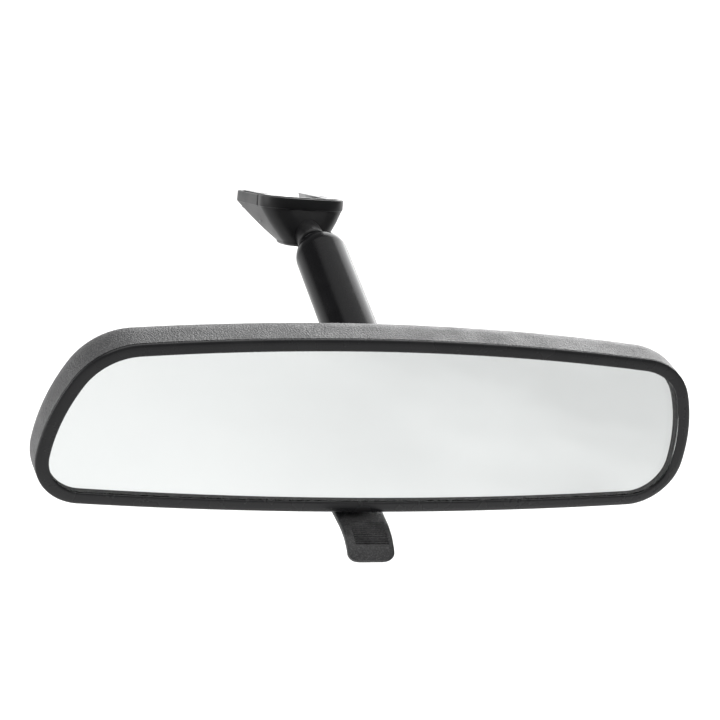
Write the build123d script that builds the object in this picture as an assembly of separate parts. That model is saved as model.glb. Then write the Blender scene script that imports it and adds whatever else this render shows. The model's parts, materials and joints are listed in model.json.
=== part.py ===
"""Interior rearview mirror: windscreen mount, two-ball stem, prismatic head and anti-glare lever.

Row frame, millimetres: the origin is the centre of the mount's face, which lies against the
windscreen. +X is to the right of someone looking into the mirror, +Y points to the front of the
car and +Z points up. The whole mirror is symmetric about the YZ plane.

Two local frames are used. "Head" coordinates are X, depth behind the bezel's front, and height
above the middle of the head. "Mount" coordinates are X, distance down the
windscreen, and distance out of the face.
"""

import os
from math import atan2, cos, hypot, pi, radians, sin, sqrt

from build123d import *

# ---- windscreen and placing of the head -------------------------------------------------------
SCREEN_RAKE = 24.0          # windscreen's angle from the horizontal
FACE_TO_FRONT = 131.9       # from the mount's face back to the front of the bezel
FACE_TO_MID = 23.15         # from the mount's face down to the middle of the head

# ---- outline of the head: a chain of tangent arcs ---------------------------------------------
HEAD_WIDTH = 250.0
HEAD_HEIGHT = 72.5
CROWN_R = 984.0             # long upper edge
SOLE_R = 1652.0             # long lower edge
END_R = 72.5                # the two bowed ends
END_DROP = 15.2             # centre of an end arc, below the middle
SHOULDER_R = 26.5           # upper corners
HEEL_R = 19.0               # lower corners

# ---- housing ----------------------------------------------------------------------------------
WALL = 2.0
SEAM = 0.9                  # depth of the joint between bezel and housing
SEAM_GAP = 0.15
BELT_DEPTH = 13.0           # end of the straight side wall
BACK_DEPTH = 28.0
BACK_INSET = 15.0           # how far the back is drawn in from the outline
BELT_FILLET = 10.0
BACK_FILLET = 12.0
STEM_HOLE_R = 15.5
STEM_HOLE_LIP = 2.6
COLLAR = 8.3                # depth of the collar round the stem's hole
LEDGE_DEPTH = 9.4           # front of the ledge that the gasket sits on
LEDGE_THICK = 1.8
LEDGE_INNER = 7.0           # inner edge of the ledge, in from the outline

# ---- bezel ------------------------------------------------------------------------------------
BEZEL_ROUND = 0.5           # rounding of the rim's outer edge
BEZEL_WIDTH = 4.7           # rim, from the outline to the sight edge
LIP = 0.5                   # thin lip over the edge of the glass
SKIRT_DEPTH = 7.6
SKIRT_WALL = 1.1
SKIRT_GAP = 15.0            # half width of the skirt's gap for the lever

# ---- glass ------------------------------------------------------------------------------------
GLASS_INSET = 3.4
GLASS_FRONT = 0.6
GLASS_THIN = 2.0            # at the lower edge
GLASS_THICK = 5.1           # at the upper edge
COATING = 0.12
FILM = 0.35
GASKET_WIDTH = 3.4

# ---- ball joints and stem ---------------------------------------------------------------------
UPPER_BALL = (0.0, -43.6, -3.65)
BALL_SPACING = 60.0
STEM_RISE = 12.0            # stem's slope, rising towards the windscreen
BALL_R = 7.5
NECK_R = 2.6
SHANK_R = 3.0
RUNNING = 0.05              # radial running clearance
LINER_IN = 7.56
LINER_OUT = 8.60
LINER_FRONT = 62.0          # polar angles of the liner's two edges
LINER_REAR = 135.0
TUBE_R = 10.0
BORE_R = 8.66
MOUTH_ANGLE = 46.0          # half angle of the tube's mouth, seen from the ball's centre
FLANGE_NEAR = 10.4
FLANGE_FAR = 11.5
FLANGE_R = 4.4
PLUNGER_R = 8.5
PLUNGER_FACE = 8.78
PLUNGER_NEAR = 5.6
PLUNGER_FAR = 11.4
SPIGOT_R = 3.5
SPIGOT_FAR = 15.0
SPRING_R = 5.1
WIRE_R = 0.8
SPRING_TURNS = 7

# ---- mount ------------------------------------------------------------------------------------
MOUNT_WIDTH = 34.0
MOUNT_LENGTH = 44.0
MOUNT_CORNER = 10.0
PLATE_PROUD = 0.3           # wedge plate stands out of the shell's rim by this
BAND = 4.3                  # straight rim band of the shell
KEEL_DEPTH = 18.6
KEEL_WIDTH = 14.5
KEEL_LENGTH = 14.5
KEEL_MIDDLE = -14.2         # middle of the keel, along the windscreen
KEEL_CORNER = 6.0
SHELL_WALL = 2.2
PLATE_THICK = 7.0
BOSS_R = 5.4
BUTTON_WIDE = 22.4          # dovetail channel for a wedge button, at the button's lower end
BUTTON_NARROW = 19.2
BUTTON_LENGTH = 31.8
BUTTON_THICK = 4.9
DOVETAIL = 1.3              # undercut on each side
SET_SCREW_R = 2.5
SET_SCREW_LENGTH = 9.0
SET_SCREW_AT = 3.0
CHANNEL_TOP = -17.9         # closed end of the channel, along the windscreen
GRIP_END = 8.0              # where the channel starts to flare towards its mouth
MOUTH_WIDE = 25.0
PLATE_SCREW_X = 12.6
PLATE_SCREW_AT = -4.0
PLATE_SCREW_R = 0.9
PLATE_SCREW_HEAD = 1.7
SHANK_UPPER = 24.0          # far end of the upper stud's shank, from its ball
SHANK_LOWER = 20.2
CLIP_R = 3.7

# ---- day and night toggle ---------------------------------------------------------------------
HINGE_DEPTH = 16.0
HINGE_HEIGHT = 24.0
ROD_R = 1.5
ROD_HALF = 24.0
PLATE_FRONT = 13.2
PLATE_REAR = 17.2
PIVOT_DEPTH = 15.0
PIVOT_HEIGHT = -29.3
CRANK = 4.6
FLIP = 45.0                 # lever's travel
PIN_R = 1.25
PIN_HALF = 13.4
SLOT_HALF = 10.4            # half width of the lever's slot
CRANK_PIN_R = 1.5
HUB_R = 3.6
LEVER_WIDTH = 20.0
FORK_GAP = 3.3
FORK_HALF = 4.0
CHEEK_IN = 4.6
CHEEK_OUT = 7.4
CRANK_EAR_R = 2.7
ARM_HALF = 1.9              # half thickness of the lever's arm at its root
TIP_TAPER = 1.0             # the tab's narrowing on each side
TIP_ROUND = 4.2
TIP_DEPTH = -16.0
KNEE = (10.0, -37.9)        # upper side of the arm where it turns forward, depth and height
CREST = (-4.4, -38.9)       # upper side of the tab at its middle
TIP_TOP = (-15.2, -45.5)
TIP_BOTTOM = (-16.2, -47.4)
BELLY = (-4.8, -41.4)       # under side of the tab at its middle
HEEL = (10.4, -40.7)
POST_X = (17.6, 25.5)       # posts for the hinge rod
POST_HALF = 3.4
CHEEK_POST_X = (10.5, 13.5) # cheeks for the lever's pin
BRACKET_HALF = 15.5
STALK_HALF = 8.0
BRACKET_BOSS_R = 8.0
BRACKET_BOSS = 6.4
FORK_WALL = 1.9


# ---- frames -----------------------------------------------------------------------------------
def head(depth, height=0.0, x=0.0):
    """Row-frame point of a place in head coordinates."""
    return Vector(x, depth - FACE_TO_FRONT, height - FACE_TO_MID)


def head_plane(depth):
    """Plane across the head at a depth: its x is +X, its y is +Z and it looks at the viewer."""
    return Plane(origin=head(depth), x_dir=(1, 0, 0), z_dir=(0, -1, 0))


def side_plane(x):
    """Plane at x whose own x is depth and own y is height, in head coordinates."""
    return Plane(origin=head(0, 0, x), x_dir=(0, 1, 0), z_dir=(1, 0, 0))


MOUNT_NORMAL = (0, sin(radians(SCREEN_RAKE)), cos(radians(SCREEN_RAKE)))


def mount_plane(out=0.0):
    """Plane parallel to the mount's face, out of it by a distance: its y runs down the screen."""
    return Plane(origin=Vector(*MOUNT_NORMAL) * out, x_dir=(1, 0, 0), z_dir=MOUNT_NORMAL)


STEM_AXIS = Vector(0, -cos(radians(STEM_RISE)), -sin(radians(STEM_RISE)))
UPPER = Vector(*UPPER_BALL)
LOWER = UPPER + STEM_AXIS * BALL_SPACING
BALL_DEPTH = LOWER.Y + FACE_TO_FRONT
BALL_HEIGHT = LOWER.Z + FACE_TO_MID
CRANK_START = radians(FLIP / 2)
CRANK_DEPTH = PIVOT_DEPTH + CRANK * sin(CRANK_START)
CRANK_HEIGHT = PIVOT_HEIGHT + CRANK * cos(CRANK_START)


# ---- helpers ----------------------------------------------------------------------------------
def corner_centre(c1, r1, c2, r2, r):
    """Centre, on the +x side, of the circle of radius r that touches two larger ones inside."""
    d1, d2 = r1 - r, r2 - r
    dx, dy = c2[0] - c1[0], c2[1] - c1[1]
    d = hypot(dx, dy)
    a = (d1 * d1 - d2 * d2 + d * d) / (2 * d)
    h = sqrt(d1 * d1 - a * a)
    mx, my = c1[0] + a * dx / d, c1[1] + a * dy / d
    one, two = (mx - h * dy / d, my + h * dx / d), (mx + h * dy / d, my - h * dx / d)
    return one if one[0] > two[0] else two


def head_outline(inset=0.0):
    """Face of the head's outline, moved inwards by inset, about the middle of the head."""
    half, rise = HEAD_WIDTH / 2, HEAD_HEIGHT / 2
    crown = (0.0, rise - CROWN_R)
    sole = (0.0, SOLE_R - rise)
    end = (half - END_R, -END_DROP)
    shoulder = corner_centre(crown, CROWN_R, end, END_R, SHOULDER_R)
    heel = corner_centre(sole, SOLE_R, end, END_R, HEEL_R)

    def bearing(a, b):
        return atan2(b[1] - a[1], b[0] - a[0])

    stops = [
        (crown, CROWN_R, pi / 2, bearing(crown, shoulder)),
        (shoulder, SHOULDER_R, bearing(crown, shoulder), bearing(end, shoulder)),
        (end, END_R, bearing(end, shoulder), bearing(end, heel)),
        (heel, HEEL_R, bearing(end, heel), bearing(sole, heel)),
        (sole, SOLE_R, bearing(sole, heel), -pi / 2),
    ]

    def at(centre, radius, angle, side):
        r = radius - inset
        return side * (centre[0] + r * cos(angle)), centre[1] + r * sin(angle)

    edges = []
    for side in (1, -1):
        for centre, radius, start, stop in stops:
            points = [at(centre, radius, t, side) for t in (start, (start + stop) / 2, stop)]
            edges.append(ThreePointArc(*points))
    return make_face(Curve() + edges)


def head_slab(inset, near, far):
    """Prism of the head's outline between two depths."""
    return extrude(head_plane(near) * head_outline(inset), amount=-(far - near))


def head_loft(stations):
    """Solid through outlines, each given as (depth, inset), with straight sides between."""
    return loft([head_plane(d) * head_outline(i) for d, i in stations], ruled=True)


def ring(outer, inner, near, far):
    """Ring that follows the head's outline, between two insets and two depths."""
    return head_slab(outer, near, far) - head_slab(inner, near - 1, far + 1)


def cross_bar(depth, height, radius, half, x=0.0):
    """Round bar along X in the head."""
    plane = Plane(origin=head(depth, height, x - half), z_dir=(1, 0, 0))
    return extrude(plane * Circle(radius), amount=2 * half)


def head_box(x, depth, height):
    """Block in the head, each argument a (low, high) pair."""
    size = (x[1] - x[0], depth[1] - depth[0], height[1] - height[0])
    middle = head(sum(depth) / 2, sum(height) / 2, sum(x) / 2)
    return Pos(*middle) * Box(*size)


def pocket(sketch, out, deep):
    """Prism of a sketch in mount coordinates, from out of the face down by deep."""
    return extrude(mount_plane(out) * sketch, amount=-deep)


def turned(points, plane):
    """Solid of revolution about the plane's x axis, from a closed (along, radius) outline."""
    face = plane * make_face(Polyline(*points, close=True))
    return revolve(face, Axis(plane.origin, plane.x_dir))


def stud_plane(origin, direction):
    """Plane whose x runs along a ball's shank from the ball's centre."""
    return Plane(origin=origin, x_dir=direction, z_dir=(1, 0, 0))


def one(shape):
    """The shape's only solid, or a compound of its solids."""
    solids = shape.solids()
    return solids[0] if len(solids) == 1 else Compound(children=list(solids))


# ---- stem and ball joints ---------------------------------------------------------------------
def ball_stud(origin, direction, shank_far):
    """Ball, neck, flange and grooved shank on one axis."""
    plane = stud_plane(origin, direction)
    groove_near, groove_far = shank_far - 2.2, shank_far - 1.1
    body = turned(
        [
            (0, 0), (0, NECK_R), (FLANGE_NEAR - 0.8, NECK_R), (FLANGE_NEAR, NECK_R + 0.8),
            (FLANGE_NEAR, FLANGE_R - 0.3), (FLANGE_NEAR + 0.3, FLANGE_R), (FLANGE_FAR - 0.05, FLANGE_R),
            (FLANGE_FAR - 0.05, SHANK_R), (groove_near, SHANK_R), (groove_near, SHANK_R - 0.7),
            (groove_far, SHANK_R - 0.7), (groove_far, SHANK_R), (shank_far - 0.4, SHANK_R),
            (shank_far, SHANK_R - 0.4), (shank_far, 0),
        ],
        plane,
    )
    return one(body + Pos(*origin) * Sphere(BALL_R))


def stud_clip(origin, direction, shank_far):
    """Push-on ring in the shank's groove."""
    near = shank_far - 2.15
    plane = Plane(origin=Vector(*origin) + Vector(*direction) * near, z_dir=direction)
    disc = Circle(CLIP_R) - Circle(SHANK_R - 0.65)
    return one(extrude(plane * disc, amount=1.0))


def ball_liner(origin, mouth):
    """Nylon liner: a zone of a spherical shell about the stem's axis, mouth pointing outwards."""
    front, rear = radians(LINER_FRONT), radians(LINER_REAR)
    middle = (front + rear) / 2
    plane = Plane(origin=origin, x_dir=mouth, z_dir=(1, 0, 0))

    def at(radius, angle):
        return radius * cos(angle), radius * sin(angle)

    outline = Curve() + [
        ThreePointArc(at(LINER_IN, front), at(LINER_IN, middle), at(LINER_IN, rear)),
        Line(at(LINER_IN, rear), at(LINER_OUT, rear)),
        ThreePointArc(at(LINER_OUT, rear), at(LINER_OUT, middle), at(LINER_OUT, front)),
        Line(at(LINER_OUT, front), at(LINER_IN, front)),
    ]
    return one(revolve(plane * make_face(outline), Axis(origin, mouth)))


def stem_tube():
    """Tube drawn in to a spherical mouth at both ends."""
    plane = Plane(origin=UPPER, x_dir=STEM_AXIS, z_dir=(1, 0, 0))
    mouth = radians(MOUTH_ANGLE)
    bend = (mouth + pi / 2) / 2

    def near(radius, angle):
        return -radius * cos(angle), radius * sin(angle)

    def far(radius, angle):
        return BALL_SPACING + radius * cos(angle), radius * sin(angle)

    outline = Curve() + [
        ThreePointArc(near(BORE_R, mouth), near(BORE_R, bend), near(BORE_R, pi / 2)),
        Line(near(BORE_R, pi / 2), far(BORE_R, pi / 2)),
        ThreePointArc(far(BORE_R, pi / 2), far(BORE_R, bend), far(BORE_R, mouth)),
        Line(far(BORE_R, mouth), far(TUBE_R, mouth)),
        ThreePointArc(far(TUBE_R, mouth), far(TUBE_R, bend), far(TUBE_R, pi / 2)),
        Line(far(TUBE_R, pi / 2), near(TUBE_R, pi / 2)),
        ThreePointArc(near(TUBE_R, pi / 2), near(TUBE_R, bend), near(TUBE_R, mouth)),
        Line(near(TUBE_R, mouth), near(BORE_R, mouth)),
    ]
    return one(revolve(plane * make_face(outline), Axis(UPPER, STEM_AXIS)))


def plunger(origin, inwards):
    """Cup that the spring presses on the liner, with a spigot for the coil."""
    plane = stud_plane(origin, inwards)
    body = turned(
        [
            (PLUNGER_NEAR, 0), (PLUNGER_NEAR, PLUNGER_R), (PLUNGER_FAR - 0.5, PLUNGER_R),
            (PLUNGER_FAR, PLUNGER_R - 0.5), (PLUNGER_FAR, SPIGOT_R), (SPIGOT_FAR - 0.6, SPIGOT_R),
            (SPIGOT_FAR, SPIGOT_R - 0.6), (SPIGOT_FAR, 0),
        ],
        plane,
    )
    return one(body - Pos(*origin) * Sphere(PLUNGER_FACE))


def stem_spring():
    """Coil between the two plungers."""
    near = PLUNGER_FAR + WIRE_R + 0.1
    length = BALL_SPACING - 2 * near
    start = UPPER + STEM_AXIS * near
    helix = Helix(pitch=length / SPRING_TURNS, height=length, radius=SPRING_R)
    wire = sweep(Plane(origin=helix @ 0, z_dir=helix % 0) * Circle(WIRE_R), path=helix)
    return one(Plane(origin=start, z_dir=STEM_AXIS) * wire)


# ---- mount ------------------------------------------------------------------------------------
def shell_block(inset, top, band, keel, keel_inset):
    """Hull of the mount: a straight band from top to band, then drawn in to the keel."""
    rim = RectangleRounded(MOUNT_WIDTH - 2 * inset, MOUNT_LENGTH - 2 * inset, MOUNT_CORNER - inset)
    foot = Pos(0, KEEL_MIDDLE) * RectangleRounded(
        KEEL_WIDTH - 2 * keel_inset, KEEL_LENGTH - 2 * keel_inset, KEEL_CORNER - keel_inset
    )
    hull = loft([mount_plane(-band) * rim, mount_plane(-keel) * foot], ruled=True)
    return hull + pocket(rim, -top, band - top)


def stud_bore(radius, near, far):
    """Bar on the upper stud's axis, which is level, between two distances from the ball."""
    plane = Plane(origin=UPPER + Vector(0, near, 0), z_dir=(0, 1, 0))
    return extrude(plane * Circle(radius), amount=far - near)


def mount_shell():
    """Painted hull with the stud's boss, the screw bosses and a pocket for the wedge plate."""
    outer = shell_block(0, PLATE_PROUD, BAND, KEEL_DEPTH, 0)
    low = outer.faces().sort_by(Axis((0, 0, 0), MOUNT_NORMAL))[0]
    outer = fillet(low.edges(), 3.0)
    boss = stud_bore(BOSS_R, FLANGE_FAR, FLANGE_FAR + 12) & (
        outer + stud_bore(BOSS_R, FLANGE_FAR, FLANGE_FAR + 9)
    )
    tip = boss.faces().sort_by(Axis.Y)[0]
    boss = fillet(tip.edges(), 1.2)
    cavity = shell_block(SHELL_WALL, PLATE_THICK, PLATE_THICK + 0.01, KEEL_DEPTH - 2.0, SHELL_WALL)
    core = cavity - stud_bore(BOSS_R + 0.6, 0, SHANK_UPPER - 2.6)
    screw_post = Cylinder(SET_SCREW_R + 2.6, 30)
    core -= mount_plane() * Pos(0, SET_SCREW_AT, -15) * screw_post
    for side in (1, -1):
        place = mount_plane() * Pos(side * PLATE_SCREW_X, PLATE_SCREW_AT, -15)
        core -= place * Cylinder(PLATE_SCREW_R + 2.1, 30)
    seat = RectangleRounded(
        MOUNT_WIDTH - 2 * SHELL_WALL, MOUNT_LENGTH - 2 * SHELL_WALL, MOUNT_CORNER - SHELL_WALL
    )
    body = outer + boss - core - pocket(seat, 1, PLATE_THICK + 1)
    mouth = Pos(0, MOUNT_LENGTH / 2) * Rectangle(MOUTH_WIDE + 0.6, 2 * SHELL_WALL + 6)
    body -= pocket(mouth, 1, BUTTON_THICK + 1)
    body -= stud_bore(SHANK_R + RUNNING, 0, 27.2)
    body -= stud_bore(CLIP_R + 0.4, SHANK_UPPER - 2.6, SHANK_UPPER)
    body -= mount_plane() * Pos(0, SET_SCREW_AT, -15) * Cylinder(SET_SCREW_R, 30)
    for side in (1, -1):
        hole = mount_plane() * Pos(side * PLATE_SCREW_X, PLATE_SCREW_AT, -9) * Cylinder(PLATE_SCREW_R, 6)
        body -= hole
    return one(body)


def wedge_plate():
    """Bare plate with the dovetail channel that slides down over the windscreen's button."""
    gap = SHELL_WALL + 0.05
    rim = RectangleRounded(MOUNT_WIDTH - 2 * gap, MOUNT_LENGTH - 2 * gap, MOUNT_CORNER - gap)
    plate = pocket(rim, 0, PLATE_THICK - 0.05)
    slope = (BUTTON_WIDE - BUTTON_NARROW) / 2 / BUTTON_LENGTH
    grip = BUTTON_NARROW / 2 + slope * (GRIP_END - CHANNEL_TOP)
    mouth = MOUNT_LENGTH / 2 + 1

    def channel(extra):
        half = [(BUTTON_NARROW / 2 + extra, CHANNEL_TOP), (grip + extra, GRIP_END)]
        half.append((MOUTH_WIDE / 2 + extra, mouth))
        return make_face(Polyline(*half, *[(-x, y) for x, y in reversed(half)], close=True))

    groove = loft(
        [mount_plane(0.01) * channel(-DOVETAIL), mount_plane(-BUTTON_THICK) * channel(0)], ruled=True
    )
    plate -= groove
    plate -= mount_plane() * Pos(0, SET_SCREW_AT, -PLATE_THICK) * Cylinder(SET_SCREW_R + 0.1, 8)
    for side in (1, -1):
        place = mount_plane() * Pos(side * PLATE_SCREW_X, PLATE_SCREW_AT)
        plate -= place * Pos(0, 0, -4) * Cylinder(PLATE_SCREW_R + 0.2, 10)
        plate -= place * Pos(0, 0, -0.9) * Cylinder(PLATE_SCREW_HEAD + 0.15, 1.9)
    return one(plate)


def plate_screws():
    """Two small screws that hold the wedge plate in the shell."""
    both = []
    for side in (1, -1):
        place = mount_plane() * Pos(side * PLATE_SCREW_X, PLATE_SCREW_AT)
        screw = place * Pos(0, 0, -1.05) * Cylinder(PLATE_SCREW_HEAD, 1.4)
        screw += place * Pos(0, 0, -6.4) * Cylinder(PLATE_SCREW_R, 9.4)
        screw -= place * Pos(0, 0, -0.5) * extrude(RegularPolygon(1.0, 6), amount=1.0, both=True)
        both += screw.solids()
    return Compound(children=both)


def set_screw():
    """Headless screw that locks the mount on its button, with a hexagon socket."""
    low = BUTTON_THICK + 0.2
    screw = mount_plane(-low) * Pos(0, SET_SCREW_AT, -SET_SCREW_LENGTH / 2) * Cylinder(
        SET_SCREW_R, SET_SCREW_LENGTH
    )
    socket = mount_plane(-low - SET_SCREW_LENGTH) * Pos(0, SET_SCREW_AT) * RegularPolygon(1.35, 6)
    return one(screw - extrude(socket, amount=3.0))


# ---- head -------------------------------------------------------------------------------------
def hull(inset, front):
    """Belt and drawn-in back of the housing, or of its hollow when inset."""
    back = BACK_DEPTH - inset
    form = head_loft([(BELT_DEPTH, inset), (back, BACK_INSET + inset * 0.8)])
    form += head_slab(inset, front, BELT_DEPTH)
    last = form.faces().sort_by(Axis.Y)[-1]
    form = fillet(last.edges(), BACK_FILLET - inset)
    belt = [e for e in form.edges() if abs(e.center().Y - head(BELT_DEPTH).Y) < 0.01]
    return fillet(belt, BELT_FILLET - inset)


def rear_housing():
    """Grained back shell: side belt, sloping back, hole for the stem and slot for the lever."""
    outer = hull(0, SEAM + SEAM_GAP)
    inner = hull(WALL, SEAM - 1)
    body = outer - inner
    body += ring(WALL - 0.5, LEDGE_INNER, LEDGE_DEPTH, LEDGE_DEPTH + LEDGE_THICK) & outer
    collar = Plane(origin=head(BACK_DEPTH - COLLAR, BALL_HEIGHT), z_dir=(0, 1, 0))
    body += extrude(collar * Circle(STEM_HOLE_R + STEM_HOLE_LIP), amount=COLLAR)
    body -= extrude(collar * Circle(STEM_HOLE_R), amount=20, both=True)
    rod_reach = (HINGE_HEIGHT - POST_HALF, HINGE_HEIGHT + POST_HALF)
    post = head_box(POST_X, (HINGE_DEPTH - POST_HALF, BACK_DEPTH - 1), rod_reach)
    pin_reach = (PIVOT_HEIGHT - 5.5, PIVOT_HEIGHT + POST_HALF)
    cheek = head_box(CHEEK_POST_X, (PIVOT_DEPTH - 3.2, BACK_DEPTH - 3), pin_reach)
    supports = (post + cheek) & outer
    body += supports
    body += mirror(supports, Plane.YZ)
    body -= cross_bar(HINGE_DEPTH, HINGE_HEIGHT, ROD_R, ROD_HALF + 0.2)
    body -= cross_bar(PIVOT_DEPTH, PIVOT_HEIGHT, PIN_R, PIN_HALF + 0.2)
    slot = head_box((-SLOT_HALF, SLOT_HALF), (6.5, BACK_DEPTH), (-HEAD_HEIGHT / 2 - 2, PIVOT_HEIGHT + 5))
    body -= slot
    return one(body)


def front_bezel():
    """Smooth rim with a rounded front, a lip over the glass and a skirt inside the housing."""
    rim = head_slab(0, 0, SEAM)
    front = rim.faces().sort_by(Axis.Y)[0]
    rim = fillet(front.edges(), BEZEL_ROUND)
    skirt_inner = WALL + 0.1 + SKIRT_WALL
    rim -= head_slab(BEZEL_WIDTH, -1, SEAM + 1)
    rim -= head_slab(skirt_inner, LIP, SEAM + 1)
    skirt = ring(WALL + 0.1, skirt_inner, SEAM - 0.1, SKIRT_DEPTH)
    gap = head_box((-SKIRT_GAP, SKIRT_GAP), (SEAM + 1.2, SKIRT_DEPTH + 2), (-HEAD_HEIGHT / 2, -25))
    return one(rim + (skirt - gap))


def behind_glass(offset, far):
    """Block behind the plane of the glass's back, moved back by offset, as far as a depth."""
    low = -HEAD_HEIGHT / 2 + GLASS_INSET
    slope = (GLASS_THICK - GLASS_THIN) / (HEAD_HEIGHT - 2 * GLASS_INSET)

    def back(height):
        return GLASS_FRONT + GLASS_THIN + offset + slope * (height - low)

    points = [(back(-50), -50), (back(50), 50), (far, 50), (far, -50)]
    block = side_plane(-HEAD_WIDTH) * make_face(Polyline(*points, close=True))
    return extrude(block, amount=2 * HEAD_WIDTH)


def glass_layer(near, far):
    """Slice of the glass's outline between two offsets from the back of the glass."""
    slab = head_slab(GLASS_INSET, GLASS_FRONT, 20)
    return one(slab & (behind_glass(near, 40) - behind_glass(far, 50)))


def mirror_glass():
    """Wedge of glass, thicker at the top."""
    return one(head_slab(GLASS_INSET, GLASS_FRONT, 20) - behind_glass(0, 50))


def foam_gasket():
    """Foam ring that takes up the wedge between the film and the housing's ledge."""
    band = ring(GLASS_INSET, GLASS_INSET + GASKET_WIDTH, GLASS_FRONT, LEDGE_DEPTH - 0.02)
    return one(band & behind_glass(COATING + FILM + 0.02, 50))


def toggle_bracket():
    """Plate that carries the lower ball stud, hinged to the housing at its upper edge."""
    plate = (PLATE_FRONT, PLATE_REAR)
    body = head_box((-BRACKET_HALF, BRACKET_HALF), plate, (-4, HINGE_HEIGHT - 3))
    body += head_box((-STALK_HALF, STALK_HALF), plate, (-21.6, -3))
    body += cross_bar(HINGE_DEPTH, HINGE_HEIGHT, 3.2, BRACKET_HALF)
    neck = (HINGE_DEPTH - 2.2, PLATE_REAR)
    body += head_box((-BRACKET_HALF, BRACKET_HALF), neck, (HINGE_HEIGHT - 4, HINGE_HEIGHT))
    boss = head(BALL_DEPTH - FLANGE_FAR - BRACKET_BOSS, BALL_HEIGHT)
    boss_plane = Plane(origin=boss, z_dir=(0, 1, 0))
    body += extrude(boss_plane * Circle(BRACKET_BOSS_R), amount=BRACKET_BOSS)
    for x in (-12.5, 12.5):
        rib = (PLATE_REAR - 0.5, PLATE_REAR + 1.2)
        body += head_box((x - 1.1, x + 1.1), rib, (-4, HINGE_HEIGHT - 3))
    half_gap = FORK_GAP / 2
    tines = (CRANK_DEPTH - half_gap - FORK_WALL, CRANK_DEPTH + half_gap + FORK_WALL)
    fork = head_box((-FORK_HALF, FORK_HALF), tines, (CRANK_HEIGHT - 1.8, -17.5))
    slot = (CRANK_DEPTH - half_gap, CRANK_DEPTH + half_gap)
    fork -= head_box((-9, 9), slot, (CRANK_HEIGHT - 5, CRANK_HEIGHT + 2.4))
    body += fork
    body -= head_box((-6.5, 6.5), (0, 40), (HINGE_HEIGHT - 3.6, HINGE_HEIGHT + 5))
    body -= cross_bar(HINGE_DEPTH, HINGE_HEIGHT, ROD_R + RUNNING, 20)
    body -= extrude(boss_plane * Circle(SHANK_R + RUNNING), amount=20, both=True)
    return one(body)


def hinge_rod():
    """Steel rod through the housing's posts and the bracket's knuckles."""
    return one(cross_bar(HINGE_DEPTH, HINGE_HEIGHT, ROD_R, ROD_HALF))


def lever_pin():
    """Steel pin that the lever turns on."""
    return one(cross_bar(PIVOT_DEPTH, PIVOT_HEIGHT, PIN_R, PIN_HALF))


def crank_pin():
    """Pin across the lever's cheeks, which moves the bracket's fork."""
    return one(cross_bar(CRANK_DEPTH, CRANK_HEIGHT, CRANK_PIN_R, CHEEK_OUT))


def lever_arm():
    """Side outline of the arm: down from the pivot, forward, and drooping into the tab."""
    rear = PIVOT_DEPTH + ARM_HALF
    front = PIVOT_DEPTH - ARM_HALF
    top = PIVOT_HEIGHT - 1
    knee = (PIVOT_DEPTH - 2.6, -36.9)
    outline = Curve() + [
        Line((front, top), knee),
        Line(knee, KNEE),
        ThreePointArc(KNEE, CREST, TIP_TOP),
        Line(TIP_TOP, TIP_BOTTOM),
        ThreePointArc(TIP_BOTTOM, BELLY, HEEL),
        ThreePointArc(HEEL, (PIVOT_DEPTH + 0.3, -38.9), (rear, PIVOT_HEIGHT - 3)),
        Line((rear, PIVOT_HEIGHT - 3), (rear, top)),
        Line((rear, top), (front, top)),
    ]
    half = LEVER_WIDTH / 2
    return extrude(side_plane(-half) * make_face(outline), amount=LEVER_WIDTH)


def toggle_lever():
    """Anti-glare lever: hub, two crank cheeks, and an arm that bends forward into a thumb tab."""
    half = LEVER_WIDTH / 2
    tip = half - TIP_TAPER
    plan = make_face(
        Polyline((half, 15), (tip, TIP_DEPTH), (-tip, TIP_DEPTH), (-half, 15), close=True)
    )
    plan = fillet(plan.vertices().sort_by(Axis.Y)[:2], TIP_ROUND)
    reach = extrude(Plane(head(0, -60)) * plan, amount=60)
    reach += head_box((-half, half), (14, 25), (-60, 0))
    body = lever_arm() & reach
    body -= head_box((-CHEEK_IN, CHEEK_IN), (0, 40), (PIVOT_HEIGHT - 4.2, 0))
    for side in (1, -1):
        middle = side * (CHEEK_IN + half) / 2
        body += cross_bar(PIVOT_DEPTH, PIVOT_HEIGHT, HUB_R, (half - CHEEK_IN) / 2, middle)
        ear = side * (CHEEK_IN + CHEEK_OUT) / 2
        body += cross_bar(CRANK_DEPTH, CRANK_HEIGHT, CRANK_EAR_R, (CHEEK_OUT - CHEEK_IN) / 2, ear)
    body -= cross_bar(PIVOT_DEPTH, PIVOT_HEIGHT, PIN_R + RUNNING, 15)
    body -= cross_bar(CRANK_DEPTH, CRANK_HEIGHT, CRANK_PIN_R, CHEEK_OUT + 1)
    return one(body)


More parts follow.
